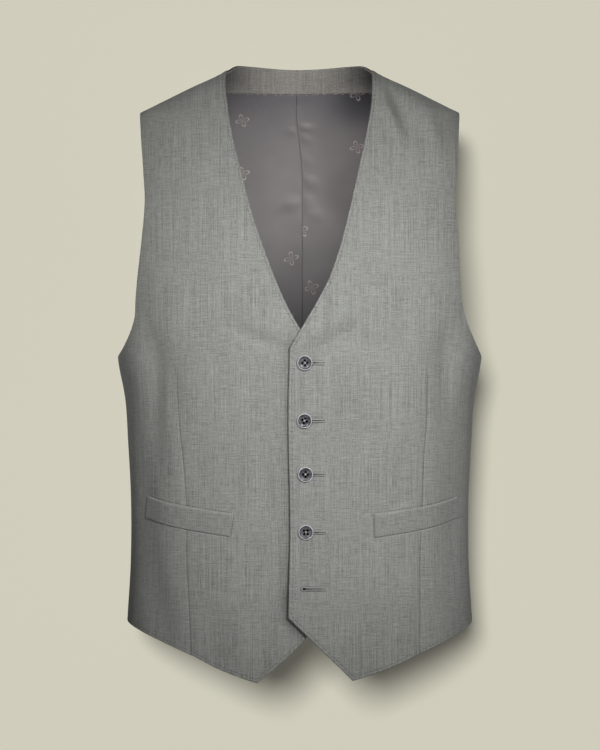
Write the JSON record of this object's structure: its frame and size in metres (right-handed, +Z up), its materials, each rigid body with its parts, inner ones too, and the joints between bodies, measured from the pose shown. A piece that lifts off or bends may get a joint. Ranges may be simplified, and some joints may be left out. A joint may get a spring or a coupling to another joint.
{
  "type": "suit waistcoat",
  "caption": "Man's single-breasted suit waistcoat in grey wool with a satin back, V neck, pointed fronts, welt pockets and a buttoned front, filled out as worn.",
  "frame": {"origin": "level with the neck ends of the shoulder seams, midway between the shoulders", "axes": "+Z up the wearer's body, -Y to the wearer's front, +X to the wearer's left"},
  "size_m": [0.369, 0.2423, 0.6212],
  "materials": {
    "suit_cloth": "matt fine grey wool with slubbed light and dark threads",
    "satin_lining": "soft grey satin",
    "button_horn": "dark blue-grey horn look, satin polish"
  },
  "bodies": {
    "root": {"front_left": "suit_cloth", "front_right": "suit_cloth", "welt_left": "suit_cloth", "welt_right": "suit_cloth", "neck_facing": "suit_cloth", "back_left": "satin_lining", "back_right": "satin_lining", "lining_left": "satin_lining", "lining_right": "satin_lining", "button_1": "button_horn", "button_2": "button_horn", "button_3": "button_horn", "button_4": "button_horn", "button_5": "button_horn"}
  },
  "joints": []
}
